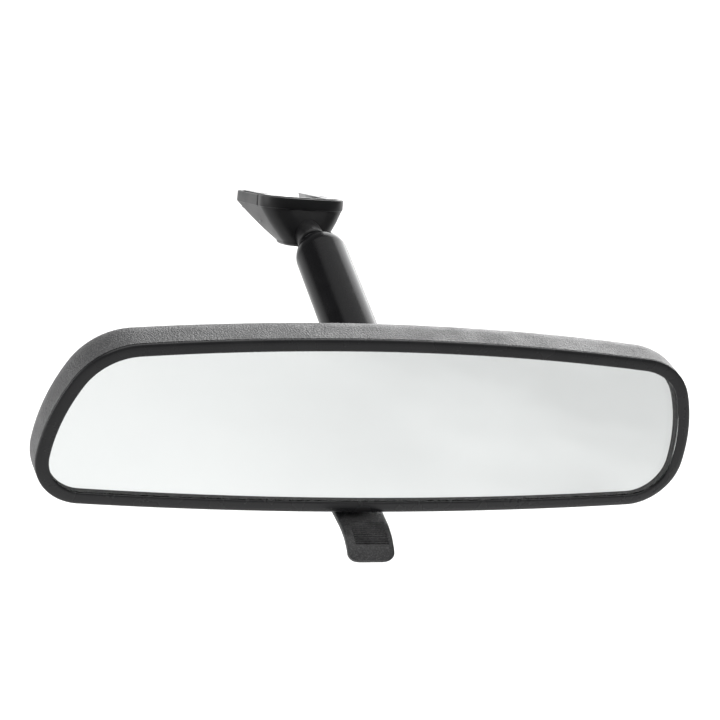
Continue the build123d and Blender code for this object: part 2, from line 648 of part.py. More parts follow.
PARTS = {
    "mount_shell": mount_shell,
    "wedge_plate": wedge_plate,
    "plate_screws": plate_screws,
    "set_screw": set_screw,
    "upper_ball_stud": lambda: ball_stud(UPPER, (0, 1, 0), SHANK_UPPER),
    "upper_stud_clip": lambda: stud_clip(UPPER, (0, 1, 0), SHANK_UPPER),
    "upper_ball_liner": lambda: ball_liner(UPPER, -STEM_AXIS),
    "stem_tube": stem_tube,
    "upper_plunger": lambda: plunger(UPPER, STEM_AXIS),
    "lower_plunger": lambda: plunger(LOWER, -STEM_AXIS),
    "stem_spring": stem_spring,
    "lower_ball_liner": lambda: ball_liner(LOWER, STEM_AXIS),
    "lower_ball_stud": lambda: ball_stud(LOWER, (0, -1, 0), SHANK_LOWER),
    "lower_stud_clip": lambda: stud_clip(LOWER, (0, -1, 0), SHANK_LOWER),
    "toggle_bracket": toggle_bracket,
    "rear_housing": rear_housing,
    "front_bezel": front_bezel,
    "mirror_glass": mirror_glass,
    "mirror_coating": lambda: glass_layer(0, COATING),
    "backing_film": lambda: glass_layer(COATING, COATING + FILM),
    "foam_gasket": foam_gasket,
    "hinge_rod": hinge_rod,
    "lever_pin": lever_pin,
    "toggle_lever": toggle_lever,
    "crank_pin": crank_pin,
}


def main():
    """Writes each part to its own STEP file."""
    os.makedirs("parts", exist_ok=True)
    for name, build in PARTS.items():
        export_step(build(), f"parts/{name}.step")
    print("ball in the head at depth", round(BALL_DEPTH, 2), "height", round(BALL_HEIGHT, 2))


if __name__ == "__main__":
    main()
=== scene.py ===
"""Interior rearview mirror: fine surfaces, finishes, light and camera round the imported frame.

Lengths are millimetres in the classes' fields and metres in Blender. "Head" coordinates are x,
depth behind the bezel's front and height above the middle of the head. The mount's plans are x
and the distance down the windscreen, and stand out from the mount's face.
"""

import json
import logging
from dataclasses import dataclass
from enum import Enum
from typing import Sequence

import bmesh
import bpy
import numpy as np
from mathutils import Matrix, Vector


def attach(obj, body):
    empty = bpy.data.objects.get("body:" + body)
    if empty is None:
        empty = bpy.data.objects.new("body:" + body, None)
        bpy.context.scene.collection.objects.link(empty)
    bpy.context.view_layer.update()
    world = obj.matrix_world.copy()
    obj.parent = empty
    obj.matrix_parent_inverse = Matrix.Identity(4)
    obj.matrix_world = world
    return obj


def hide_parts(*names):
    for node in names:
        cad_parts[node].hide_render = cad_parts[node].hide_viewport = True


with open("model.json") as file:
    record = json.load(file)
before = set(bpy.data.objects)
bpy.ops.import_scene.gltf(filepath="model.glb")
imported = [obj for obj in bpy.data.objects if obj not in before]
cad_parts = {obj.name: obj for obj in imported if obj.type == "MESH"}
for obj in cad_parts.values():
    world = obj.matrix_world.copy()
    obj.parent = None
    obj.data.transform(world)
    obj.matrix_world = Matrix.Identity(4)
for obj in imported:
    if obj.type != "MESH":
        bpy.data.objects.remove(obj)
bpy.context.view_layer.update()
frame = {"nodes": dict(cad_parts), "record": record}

LOG = logging.getLogger("rearview_mirror")
MM = 0.001
SHARP_ANGLE = np.radians(38.0)
LONGEST_ROUNDING = 0.49
Array = np.ndarray

HEAD_ORIGIN = np.array([0.0, -131.9, -23.15])
UPPER_BALL = np.array([0.0, -43.6, -3.65])
BALL_SPACING = 60.0
STEM_RISE = np.radians(12.0)
STEM_AXIS = np.array([0.0, -np.cos(STEM_RISE), -np.sin(STEM_RISE)])
SCREEN_RAKE = np.radians(24.0)
SCREEN_NORMAL = np.array([0.0, np.sin(SCREEN_RAKE), np.cos(SCREEN_RAKE)])
SCREEN_DOWN = np.array([0.0, np.cos(SCREEN_RAKE), -np.sin(SCREEN_RAKE)])


# ---- grids into meshes ------------------------------------------------------------------------
class Ends(Enum):
    """How the first and last rings of a grid are finished."""

    LOOPED = "the last ring joins the first"
    CLOSED = "each end ring is closed by a fan to its middle"


def mesh_from_rings(name: str, rings: Array, ends: Ends) -> bpy.types.Object:
    """Makes a closed mesh from rings of points.

    Neighbouring points of neighbouring rings are joined by quads, and every ring is a closed loop.

    Args:
        name: The piece's name.
        rings: Points in millimetres, shaped (ring, point, 3).
        ends: What becomes of the first and last rings.

    Returns:
        The new object, smooth shaded, with its faces pointing outwards.
    """
    count, around = rings.shape[:2]
    points = rings.reshape(-1, 3)
    rows = np.arange(count if ends is Ends.LOOPED else count - 1)
    i, j = np.meshgrid(rows, np.arange(around), indexing="ij")
    up, right = (i + 1) % count, (j + 1) % around
    quads = np.stack([i * around + j, i * around + right, up * around + right, up * around + j], -1)
    faces = quads.reshape(-1, 4).tolist()
    if ends is Ends.CLOSED:
        middles = np.array([rings[0].mean(0), rings[-1].mean(0)])
        first, last = len(points), len(points) + 1
        points = np.vstack([points, middles])
        start, step = (count - 1) * around, np.arange(around)
        after = (step + 1) % around
        faces += np.stack([after, step, np.full(around, first)], -1).tolist()
        faces += np.stack([start + step, start + after, np.full(around, last)], -1).tolist()
    return mesh_object(name, points, faces)


def mesh_object(name: str, points: Array, faces: Sequence[Sequence[int]]) -> bpy.types.Object:
    """Links a smooth mesh with outward faces.

    Args:
        name: The piece's name.
        points: Vertices in millimetres.
        faces: Vertex numbers of each face.

    Returns:
        The new object.
    """
    mesh = bpy.data.meshes.new(name)
    mesh.from_pydata((points * MM).tolist(), [], faces)
    work = bmesh.new()
    work.from_mesh(mesh)
    bmesh.ops.recalc_face_normals(work, faces=work.faces)
    work.to_mesh(mesh)
    work.free()
    mesh.shade_smooth()
    mesh.set_sharp_from_angle(angle=SHARP_ANGLE)
    piece = bpy.data.objects.new(name, mesh)
    bpy.context.scene.collection.objects.link(piece)
    return piece


def cut_away(piece: bpy.types.Object, cutter: bpy.types.Object) -> None:
    """Cuts one closed mesh out of another and deletes the cutter.

    Args:
        piece: The mesh that is cut.
        cutter: The mesh that is taken away.
    """
    cut = piece.modifiers.new("cut", "BOOLEAN")
    cut.operation, cut.solver, cut.object = "DIFFERENCE", "EXACT", cutter
    bpy.context.view_layer.update()
    made = piece.evaluated_get(bpy.context.evaluated_depsgraph_get())
    mesh = bpy.data.meshes.new_from_object(made)
    piece.modifiers.clear()
    piece.data = mesh
    bpy.data.objects.remove(cutter)


def arc(centre: tuple[float, float], radius: float, start: float, stop: float, count: int) -> Array:
    """Points of a circular arc, angles in degrees.

    Args:
        centre: The arc's centre.
        radius: Its radius.
        start: First angle.
        stop: Last angle.
        count: Number of points.

    Returns:
        Points shaped (count, 2).
    """
    t = np.radians(np.linspace(start, stop, count))
    return np.stack([centre[0] + radius * np.cos(t), centre[1] + radius * np.sin(t)], -1)


def eased(corners: Sequence[tuple[float, float, float]], steps: int = 7) -> Array:
    """Closed section whose corners are rounded.

    Each corner is replaced by the quadratic curve that leaves one side and joins the next at the
    corner's own distance, or just short of the side's middle where the side is shorter.

    Args:
        corners: (first, second, rounding) of each corner, in order.
        steps: Points on each rounded corner.

    Returns:
        Points shaped (n, 2).
    """
    points = np.array([c[:2] for c in corners], float)
    reach = np.array([c[2] for c in corners], float)
    out: list[Array] = []
    t = np.linspace(0.0, 1.0, steps)[:, None]
    for k, here in enumerate(points):
        sides = [points[k - 1] - here, points[(k + 1) % len(points)] - here]
        lengths = [np.linalg.norm(side) for side in sides]
        a, b = (
            here + side / length * min(reach[k], length * LONGEST_ROUNDING)
            for side, length in zip(sides, lengths)
        )
        out.append((1 - t) ** 2 * a + 2 * t * (1 - t) * here + t**2 * b)
    return np.vstack(out)


# ---- outline of the head ----------------------------------------------------------------------
@dataclass(frozen=True)
class HeadOutline:
    """Chain of ten tangent arcs round the head, symmetric left and right."""

    width: float = 250.0
    height: float = 72.5
    crown_r: float = 984.0
    sole_r: float = 1652.0
    end_r: float = 72.5
    end_drop: float = 15.2
    shoulder_r: float = 26.5
    heel_r: float = 19.0
    crowding: tuple[float, ...] = (0.75, 1.6, 1.0, 1.8, 0.75)

    def _corner(self, c1: Array, r1: float, c2: Array, r2: float, r: float) -> Array:
        """Centre, on the +x side, of the circle that touches two larger ones from inside.

        It stands at r1 - r from the first centre and at r2 - r from the second.

        Args:
            c1: First circle's centre.
            r1: First circle's radius.
            c2: Second circle's centre.
            r2: Second circle's radius.
            r: Radius of the circle that touches both.

        Returns:
            The centre, as (x, height).
        """
        d1, d2 = r1 - r, r2 - r
        across = c2 - c1
        d = np.hypot(*across)
        a = (d1 * d1 - d2 * d2 + d * d) / (2 * d)
        h = np.sqrt(d1 * d1 - a * a)
        foot, side = c1 + a * across / d, np.array([-across[1], across[0]]) / d
        return max(foot + h * side, foot - h * side, key=lambda p: p[0])

    def points(self, count: int = 360) -> tuple[Array, Array]:
        """Even points round the outline, clockwise from the top as seen by the driver.

        Each point is its arc's centre plus the radius along the arc's angle, and the angle runs
        steadily along each arc. Arcs take points by their length times their crowding.

        Args:
            count: Number of points, a multiple of two.

        Returns:
            The points and their outward normals, each shaped (count, 2), as (x, height).
        """
        half, rise = self.width / 2, self.height / 2
        crown, sole = np.array([0.0, rise - self.crown_r]), np.array([0.0, self.sole_r - rise])
        end = np.array([half - self.end_r, -self.end_drop])
        shoulder = self._corner(crown, self.crown_r, end, self.end_r, self.shoulder_r)
        heel = self._corner(sole, self.sole_r, end, self.end_r, self.heel_r)

        def bearing(a: Array, b: Array) -> float:
            """Angle of the direction from a to b."""
            return float(np.arctan2(b[1] - a[1], b[0] - a[0]))

        arcs = [
            (crown, self.crown_r, np.pi / 2, bearing(crown, shoulder)),
            (shoulder, self.shoulder_r, bearing(crown, shoulder), bearing(end, shoulder)),
            (end, self.end_r, bearing(end, shoulder), bearing(end, heel)),
            (heel, self.heel_r, bearing(end, heel), bearing(sole, heel)),
            (sole, self.sole_r, bearing(sole, heel), -np.pi / 2),
        ]
        lengths = np.array([r * abs(b - a) for _, r, a, b in arcs])
        weight = np.array(self.crowding) * lengths
        shares = np.concatenate([[0.0], np.cumsum(weight) / weight.sum()])
        s = (np.arange(count // 2) + 0.5) / (count // 2)
        which = np.clip(np.searchsorted(shares, s) - 1, 0, 4)
        along = (s - shares[which]) / (shares[which + 1] - shares[which])
        centres = np.array([a[0] for a in arcs])[which]
        radii = np.array([a[1] for a in arcs])[which]
        starts, stops = np.array([[a[2], a[3]] for a in arcs])[which].T
        angle = starts + (stops - starts) * along
        normal = np.stack([np.cos(angle), np.sin(angle)], -1)
        right = centres + radii[:, None] * normal
        flip = np.array([-1.0, 1.0])
        return np.vstack([right, right[::-1] * flip]), np.vstack([normal, normal[::-1] * flip])


OUTLINE = HeadOutline()


def head_rings(section: Array, count: int = 360) -> Array:
    """Rings that follow the head's outline.

    Ring k is the outline moved inwards along its normals by the section's inset and placed at the
    section's depth.

    Args:
        section: (inset, depth) of each ring.
        count: Points round each ring.

    Returns:
        Points in the row frame, shaped (ring, count, 3).
    """
    outline, normal = OUTLINE.points(count)
    flat = outline[None] - section[:, None, :1] * normal[None]
    depth = np.broadcast_to(section[:, None, 1], flat.shape[:2])
    return np.stack([flat[..., 0], depth, flat[..., 1]], -1) + HEAD_ORIGIN


# ---- node groups ------------------------------------------------------------------------------
class Nodes:
    """Short-hand for building one node tree."""

    def __init__(self, tree: bpy.types.NodeTree) -> None:
        """Keeps the tree that the nodes go into."""
        self.tree = tree

    def add(self, kind: str, values: dict | None = None, **settings: object) -> bpy.types.Node:
        """Adds a node.

        Args:
            kind: Node type without its ShaderNode prefix.
            values: Input name or number to a value, or to a socket to link from.
            **settings: Properties set on the node.

        Returns:
            The node.
        """
        node = self.tree.nodes.new("ShaderNode" + kind)
        for key, value in settings.items():
            setattr(node, key, value)
        for key, value in (values or {}).items():
            if isinstance(value, bpy.types.NodeSocket):
                self.tree.links.new(value, node.inputs[key])
            else:
                node.inputs[key].default_value = value
        return node

    def math(self, operation: str, a: object, b: object = 0.0) -> bpy.types.NodeSocket:
        """One Math node's result."""
        return self.add("Math", {0: a, 1: b}, operation=operation).outputs[0]

    def noise(self, place: object, scale: object, detail: float) -> bpy.types.NodeSocket:
        """One Noise Texture's value."""
        return self.add("TexNoise", {"Vector": place, "Scale": scale, "Detail": detail}).outputs[0]

    def ramp(
        self, value: object, low: float, high: float, start: float = 0.0, stop: float = 1.0
    ) -> bpy.types.NodeSocket:
        """A value mapped from low and high to start and stop, and held there beyond them.

        Args:
            value: The socket to map.
            low: Value that becomes start.
            high: Value that becomes stop.
            start: Result at low.
            stop: Result at high.

        Returns:
            The mapped value.
        """
        ends = {"From Min": low, "From Max": high, "To Min": start, "To Max": stop}
        return self.add("MapRange", {"Value": value, **ends}).outputs[0]

    def mix(self, share: object, a: object, b: object) -> bpy.types.NodeSocket:
        """Colour mixed from a to b by share."""
        return self.add("Mix", {0: share, 6: a, 7: b}, data_type="RGBA").outputs[2]

    def feed(self, node: bpy.types.Node, values: dict[str, bpy.types.NodeSocket]) -> None:
        """Links sockets to a node's inputs by their names."""
        for label, value in values.items():
            self.tree.links.new(value, node.inputs[label])


def new_material(name: str) -> tuple[bpy.types.Material, Nodes, bpy.types.Node]:
    """Starts a material.

    Args:
        name: The material's name.

    Returns:
        The material, a Nodes for its tree and its Principled shader.
    """
    material = bpy.data.materials.new(name)
    material.use_nodes = True
    return material, Nodes(material.node_tree), material.node_tree.nodes["Principled BSDF"]


def new_group(name: str, inputs: dict[str, tuple[str, float]], outputs: dict[str, str]) -> tuple:
    """Starts a shader node group.

    Args:
        name: The group's name.
        inputs: Input name to (socket kind, default).
        outputs: Output name to socket kind.

    Returns:
        The group, a Nodes for it, its input node and its output node.
    """
    tree = bpy.data.node_groups.new(name, "ShaderNodeTree")
    for label, (kind, default) in inputs.items():
        socket = tree.interface.new_socket(label, in_out="INPUT", socket_type="NodeSocket" + kind)
        if kind == "Float":
            socket.default_value = default
    for label, kind in outputs.items():
        tree.interface.new_socket(label, in_out="OUTPUT", socket_type="NodeSocket" + kind)
    return tree, Nodes(tree), tree.nodes.new("NodeGroupInput"), tree.nodes.new("NodeGroupOutput")


def build_grain_group() -> bpy.types.NodeTree:
    """Moulded leather-like grain: one less the distance to a cell's middle, plus fine noise.

    Returns:
        The group, with a height, a mottling mask and a mask of light specks.
    """
    tree, n, inp, out = new_group(
        "moulded_grain",
        {"Cells per metre": ("Float", 1400.0), "Mottling scale": ("Float", 90.0)},
        {"Height": "Float", "Mottling": "Float", "Speckle": "Float"},
    )
    place = n.add("TexCoord").outputs["Object"]
    warp = n.add("TexNoise", {"Vector": place, "Scale": 700.0, "Detail": 2.0}).outputs["Color"]
    bent = n.add("VectorMath", {0: warp, 1: (0.0009, 0.0009, 0.0009)}, operation="MULTIPLY")
    moved = n.add("VectorMath", {0: place, 1: bent.outputs[0]}, operation="ADD").outputs[0]
    cells = n.add(
        "TexVoronoi", {"Vector": moved, "Scale": inp.outputs["Cells per metre"]}, feature="F1"
    )
    dome = n.math("SUBTRACT", 1.0, cells.outputs["Distance"])
    fine = n.noise(place, 5200.0, 3.0)
    height = n.math("ADD", n.math("MULTIPLY", dome, 0.75), n.math("MULTIPLY", fine, 0.35))
    mottling = n.noise(place, inp.outputs["Mottling scale"], 4.0)
    speck = n.add("TexNoise", {"Vector": place, "Scale": 1900.0, "Detail": 2.0, "Roughness": 0.7})
    speckle = n.ramp(speck.outputs[0], 0.5, 0.72)
    n.feed(out, {"Height": height, "Mottling": mottling, "Speckle": speckle})
    return tree


def build_wear_group() -> bpy.types.NodeTree:
    """Edge rub and dust: edges from the bevelled normal's lean, dust on what faces up.

    Returns:
        The group, with an edge mask and a dust mask.
    """
    tree, n, inp, out = new_group(
        "edge_and_dust",
        {"Edge width": ("Float", 0.0006), "Amount": ("Float", 0.5)},
        {"Edge": "Float", "Dust": "Float"},
    )
    normal = n.add("NewGeometry").outputs["Normal"]
    rounded = n.add("Bevel", {"Radius": inp.outputs["Edge width"]}, samples=4).outputs[0]
    lean = n.add("VectorMath", {0: normal, 1: rounded}, operation="DOT_PRODUCT")
    edge = n.ramp(lean.outputs["Value"], 0.995, 0.9)
    place = n.add("TexCoord").outputs["Object"]
    broken = n.ramp(n.noise(place, 240.0, 5.0), 0.42, 0.62)
    worn = n.math("MULTIPLY", n.math("MULTIPLY", edge, broken), inp.outputs["Amount"])
    level = n.ramp(n.add("SeparateXYZ", {0: normal}).outputs["Z"], 0.35, 1.0)
    dusty = n.math("MULTIPLY", level, n.ramp(n.noise(place, 900.0, 6.0), 0.48, 0.7))
    dust = n.math("MULTIPLY", dusty, n.math("MULTIPLY", inp.outputs["Amount"], 0.1))
    n.feed(out, {"Edge": worn, "Dust": dust})
    return tree


def build_brushed_group() -> bpy.types.NodeTree:
    """Fine machining marks: noise stretched along x.

    Returns:
        The group, with a height and a tone.
    """
    tree, n, inp, out = new_group(
        "machining_marks",
        {"Lines per metre": ("Float", 2600.0)},
        {"Height": "Float", "Tone": "Float"},
    )
    place = n.add("TexCoord").outputs["Object"]
    stretched = n.add("Mapping", {"Vector": place, "Scale": (0.06, 1.0, 1.0)}).outputs[0]
    height = n.noise(stretched, inp.outputs["Lines per metre"], 4.0)
    n.feed(out, {"Height": height, "Tone": n.noise(place, 160.0, 3.0)})
    return tree


# ---- finishes ---------------------------------------------------------------------------------
SPECK_COLOUR = (0.5, 0.5, 0.5, 1.0)
DUST_COLOUR = (0.36, 0.35, 0.33, 1.0)


@dataclass(frozen=True)
class Finish:
    """One procedural finish.

    Attributes:
        name: Material's name.
        low: Darker colour of the surface.
        high: Lighter colour, in the mottling.
        roughness: Mean roughness.
        spread: How far the roughness varies either way.
        metallic: Metallic value.
        cells: Grain cells per metre, 0 for machining marks instead.
        bump: Depth of the grain, in metres.
        speckle: Strength of the light specks in the grain.
        wear: Strength of the rubbed edges and dust.
        worn: Colour of rubbed edges.
        specular: Specular level.
    """

    name: str
    low: tuple[float, float, float]
    high: tuple[float, float, float]
    roughness: float
    spread: float = 0.08
    metallic: float = 0.0
    cells: float = 1400.0
    bump: float = 0.00006
    speckle: float = 0.0
    wear: float = 0.35
    worn: tuple[float, float, float] = (0.16, 0.16, 0.16)
    specular: float = 0.5

    def material(self, groups: dict[str, bpy.types.NodeTree]) -> bpy.types.Material:
        """Builds the material.

        Args:
            groups: The shared node groups by name.

        Returns:
            The material.
        """
        material, n, shader = new_material(self.name)
        if self.cells > 0:
            texture = n.add("Group", {"Cells per metre": self.cells}, node_tree=groups["grain"])
            tone = texture.outputs["Mottling"]
        else:
            texture = n.add("Group", node_tree=groups["brushed"])
            tone = texture.outputs["Tone"]
        height = texture.outputs["Height"]
        wear = n.add("Group", {"Amount": self.wear}, node_tree=groups["wear"])
        share = n.ramp(tone, 0.3, 0.7)
        base = n.mix(share, (*self.low, 1.0), (*self.high, 1.0))
        if self.speckle > 0:
            specks = n.math("MULTIPLY", texture.outputs["Speckle"], self.speckle)
            base = n.mix(specks, base, SPECK_COLOUR)
        base = n.mix(wear.outputs["Edge"], base, (*self.worn, 1.0))
        base = n.mix(wear.outputs["Dust"], base, DUST_COLOUR)
        rough = n.ramp(tone, 0.3, 0.7, self.roughness - self.spread, self.roughness + self.spread)
        bump = n.add("Bump", {"Height": height, "Distance": self.bump, "Strength": 1.0})
        n.feed(shader, {"Base Color": base, "Roughness": rough, "Normal": bump.outputs[0]})
        shader.inputs["Metallic"].default_value = self.metallic
        shader.inputs["Specular IOR Level"].default_value = self.specular
        return material


def clear_glass() -> bpy.types.Material:
    """Wedge glass with faint wipe marks in its gloss.

    Returns:
        The material.
    """
    material, n, shader = new_material("wedge_glass")
    place = n.add("TexCoord").outputs["Object"]
    wipe = {"Vector": place, "Rotation": (0.0, 0.5, 0.0), "Scale": (0.3, 1.0, 1.0)}
    marks = n.noise(n.add("Mapping", wipe).outputs[0], 60.0, 6.0)
    n.feed(shader, {"Roughness": n.ramp(marks, 0.45, 0.8, 0.0, 0.02)})
    shader.inputs["Base Color"].default_value = (0.985, 0.995, 0.99, 1.0)
    shader.inputs["Transmission Weight"].default_value = 1.0
    shader.inputs["IOR"].default_value = 1.52
    return material


def silver_coat() -> bpy.types.Material:
    """Silvering behind the glass, a mirror with the faintest clouding.

    Returns:
        The material.
    """
    material, n, shader = new_material("silvering")
    cloud = n.noise(n.add("TexCoord").outputs["Object"], 25.0, 3.0)
    tone = n.mix(cloud, (0.93, 0.935, 0.94, 1.0), (0.96, 0.965, 0.965, 1.0))
    n.feed(shader, {"Base Color": tone, "Roughness": n.ramp(cloud, 0.0, 1.0, 0.0, 0.012)})
    shader.inputs["Metallic"].default_value = 1.0
    return material


FINISHES = (
    Finish("housing_plastic", (0.028, 0.028, 0.029), (0.038, 0.038, 0.039), 0.48, cells=1500.0,
           bump=0.0003, speckle=0.2, wear=0.2),
    Finish("lever_plastic", (0.010, 0.010, 0.011), (0.016, 0.016, 0.017), 0.46, cells=1700.0,
           bump=0.00015, speckle=0.12, wear=0.3),
    Finish("bezel_plastic", (0.010, 0.010, 0.011), (0.014, 0.014, 0.015), 0.26, cells=3200.0,
           bump=0.000008, wear=0.04, specular=0.3),
    Finish("mount_paint", (0.006, 0.006, 0.0065), (0.009, 0.009, 0.0095), 0.36, cells=2600.0,
           bump=0.00001, wear=0.2, worn=(0.16, 0.16, 0.165), specular=0.22),
    Finish("tube_paint", (0.003, 0.003, 0.0035), (0.005, 0.005, 0.0055), 0.2, spread=0.03,
           cells=3400.0, bump=0.000003, wear=0.05, worn=(0.16, 0.16, 0.165), specular=0.1),
    Finish("plate_paint", (0.013, 0.013, 0.014), (0.019, 0.019, 0.020), 0.22, cells=2600.0,
           bump=0.000008, wear=0.3, worn=(0.3, 0.3, 0.31)),
    Finish("stud_black", (0.010, 0.010, 0.011), (0.016, 0.016, 0.017), 0.3, cells=2600.0,
           bump=0.000008, wear=0.3, worn=(0.3, 0.3, 0.31)),
    Finish("screw_steel", (0.09, 0.09, 0.095), (0.16, 0.16, 0.165), 0.38, metallic=1.0, cells=0.0,
           bump=0.00001, wear=0.5, worn=(0.6, 0.6, 0.6)),
    Finish("ball_steel", (0.30, 0.30, 0.31), (0.46, 0.46, 0.47), 0.24, metallic=1.0, cells=0.0,
           bump=0.000006, wear=0.3, worn=(0.8, 0.8, 0.8)),
    Finish("spring_steel", (0.36, 0.36, 0.37), (0.5, 0.5, 0.51), 0.3, metallic=1.0, cells=0.0,
           bump=0.000006, wear=0.3, worn=(0.8, 0.8, 0.8)),
    Finish("nylon", (0.52, 0.50, 0.43), (0.62, 0.60, 0.53), 0.45, cells=2400.0, bump=0.00001),
    Finish("bracket_plastic", (0.018, 0.018, 0.019), (0.028, 0.028, 0.029), 0.5, cells=2200.0,
           bump=0.00004),
    Finish("film_plastic", (0.10, 0.11, 0.11), (0.15, 0.16, 0.16), 0.42, cells=1900.0,
           bump=0.00001),
    Finish("foam", (0.012, 0.012, 0.012), (0.02, 0.02, 0.02), 0.9, cells=2600.0, bump=0.0002),
)


class FinishBox:
    """The finishes as materials, by their slot's name."""

    def __init__(self) -> None:
        """Builds the groups and every material."""
        groups = {
            "grain": build_grain_group(),
            "wear": build_wear_group(),
            "brushed": build_brushed_group(),
        }
        self.materials = {f.name: f.material(groups) for f in FINISHES}
        self.materials["glass_clear"] = clear_glass()
        self.materials["silvering"] = silver_coat()

    def dress(self, piece: bpy.types.Object, slot: str) -> None:
        """Gives a piece one finish.

        Args:
            piece: The piece or CAD node.
            slot: Record slot, which is also the finish's name.
        """
        piece.data.materials.clear()
        piece.data.materials.append(self.materials[slot])

    def dress_frame(self) -> None:
        """Gives every CAD node the finish of its slot in the record."""
        for part in frame["record"]["subparts"]:
            self.dress(frame["nodes"][part["node"]], part["material_slot"])


@dataclass
class SubAssembly:
    """Base of the sub-assemblies: places, dresses and reports pieces."""

    box: FinishBox

    def settle(
        self, piece: bpy.types.Object, body: str, slot: str, *nodes: str
    ) -> bpy.types.Object:
        """Makes a piece ride a body, wear a finish and stand for CAD nodes.

        Args:
            piece: The new piece.
            body: The body it rides on.
            slot: Its finish and record slot.
            *nodes: CAD nodes that it replaces.

        Returns:
            The piece.
        """
        self.box.dress(piece, slot)
        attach(piece, body)
        if nodes:
            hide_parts(*nodes)
        LOG.info("%s: %d faces", piece.name, len(piece.data.polygons))
        return piece


# ---- head -------------------------------------------------------------------------------------
@dataclass
class Bezel(SubAssembly):
    """Satin rim round the glass."""

    seam: float = 0.9
    width: float = 4.75
    lip: float = 0.5
    lap: float = 2.1
    skirt_wall: float = 1.1
    skirt_depth: float = 7.6
    around: int = 420

    def build(self) -> None:
        """Section carried round the outline: rounded shoulder, shallow face, thin lip, skirt."""
        inner = self.lap + self.skirt_wall
        section = eased(
            [
                (0.0, self.seam, 0.1), (0.0, 0.6, 0.2), (0.3, 0.22, 0.25), (0.95, 0.0, 0.35),
                (2.0, -0.12, 0.5), (self.width - 0.55, -0.12, 0.5), (self.width - 0.2, 0.02, 0.2),
                (self.width, 0.3, 0.12), (self.width, self.lip, 0.06), (inner, self.lip, 0.1),
                (inner, self.skirt_depth, 0.3), (self.lap, self.skirt_depth, 0.3),
                (self.lap, self.seam, 0.1),
            ],
            steps=7,
        )
        rim = mesh_from_rings("bezel_rim", head_rings(section, self.around), Ends.LOOPED)
        self.settle(rim, "head", "bezel_plastic", "front_bezel")


